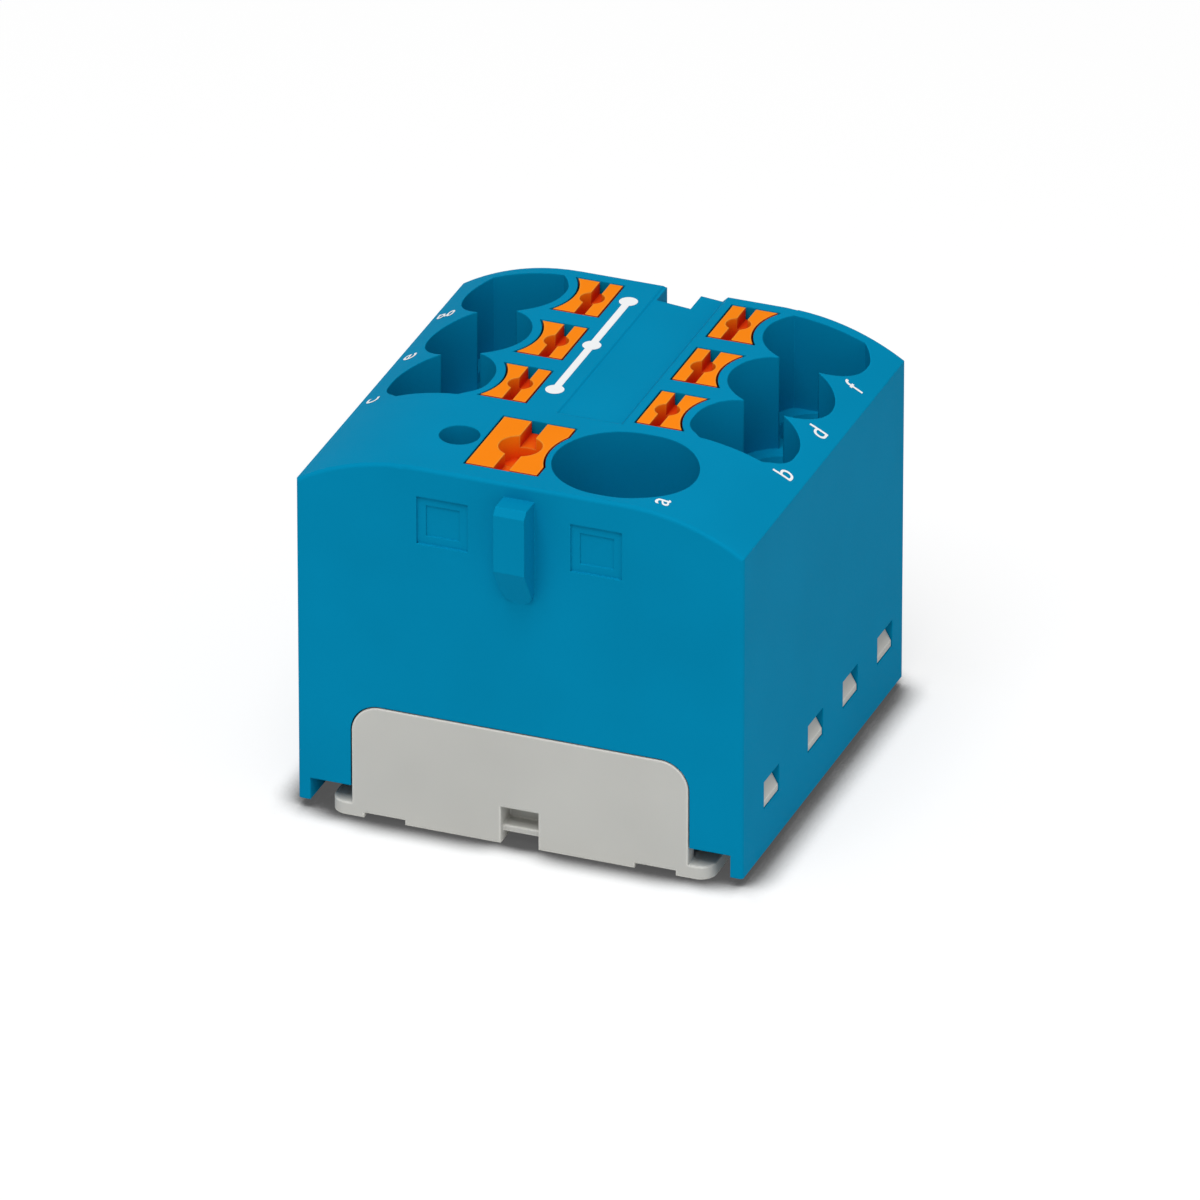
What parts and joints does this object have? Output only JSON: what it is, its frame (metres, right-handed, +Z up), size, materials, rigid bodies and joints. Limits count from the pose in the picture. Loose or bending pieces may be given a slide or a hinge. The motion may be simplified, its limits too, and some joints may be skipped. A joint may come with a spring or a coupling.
{
  "type": "power distribution block",
  "caption": "Push-in power distribution block: a large feed entry and small outlet entries in a snapped-together body, each with an orange release button over its clamping spring.",
  "frame": {"origin": "centre of the base's underside, midway between the front and rear faces and between the side faces", "axes": "+X to the right along the front, +Y from the front face to the rear face, +Z up"},
  "size_m": [0.0252, 0.0259, 0.0216],
  "materials": {
    "housing_plastic": "fine matt moulded polyamide, sky blue",
    "base_plastic": "fine matt moulded polyamide, light grey",
    "tinned_copper": "tin-plated copper, dull silver",
    "spring_steel": "rolled stainless spring strip",
    "button_plastic": "satin moulded plastic, orange"
  },
  "bodies": {
    "block": {"housing": "housing_plastic", "base": "base_plastic", "busbar": "tinned_copper", "spring_a": "spring_steel", "spring_b": "spring_steel", "spring_c": "spring_steel", "spring_d": "spring_steel", "spring_e": "spring_steel", "spring_f": "spring_steel", "spring_g": "spring_steel"},
    "button_a": {"button_a": "button_plastic"},
    "button_b": {"button_b": "button_plastic"},
    "button_c": {"button_c": "button_plastic"},
    "button_d": {"button_d": "button_plastic"},
    "button_e": {"button_e": "button_plastic"},
    "button_f": {"button_f": "button_plastic"},
    "button_g": {"button_g": "button_plastic"}
  },
  "joints": [
    {"name": "button_a_press", "type": "slide", "parent": "block", "child": "button_a", "axis": [0, 0, -1], "range_m": [0, 0.0015], "stiffness_N_per_m": 16000, "deforming": ["spring_a"]},
    {"name": "button_b_press", "type": "slide", "parent": "block", "child": "button_b", "axis": [0, 0, -1], "range_m": [0, 0.0015], "stiffness_N_per_m": 10000, "deforming": ["spring_b"]},
    {"name": "button_c_press", "type": "slide", "parent": "block", "child": "button_c", "axis": [0, 0, -1], "range_m": [0, 0.0015], "stiffness_N_per_m": 10000, "deforming": ["spring_c"]},
    {"name": "button_d_press", "type": "slide", "parent": "block", "child": "button_d", "axis": [0, 0, -1], "range_m": [0, 0.0015], "stiffness_N_per_m": 10000, "deforming": ["spring_d"]},
    {"name": "button_e_press", "type": "slide", "parent": "block", "child": "button_e", "axis": [0, 0, -1], "range_m": [0, 0.0015], "stiffness_N_per_m": 10000, "deforming": ["spring_e"]},
    {"name": "button_f_press", "type": "slide", "parent": "block", "child": "button_f", "axis": [0, 0, -1], "range_m": [0, 0.0015], "stiffness_N_per_m": 10000, "deforming": ["spring_f"]},
    {"name": "button_g_press", "type": "slide", "parent": "block", "child": "button_g", "axis": [0, 0, -1], "range_m": [0, 0.0015], "stiffness_N_per_m": 10000, "deforming": ["spring_g"]}
  ]
}
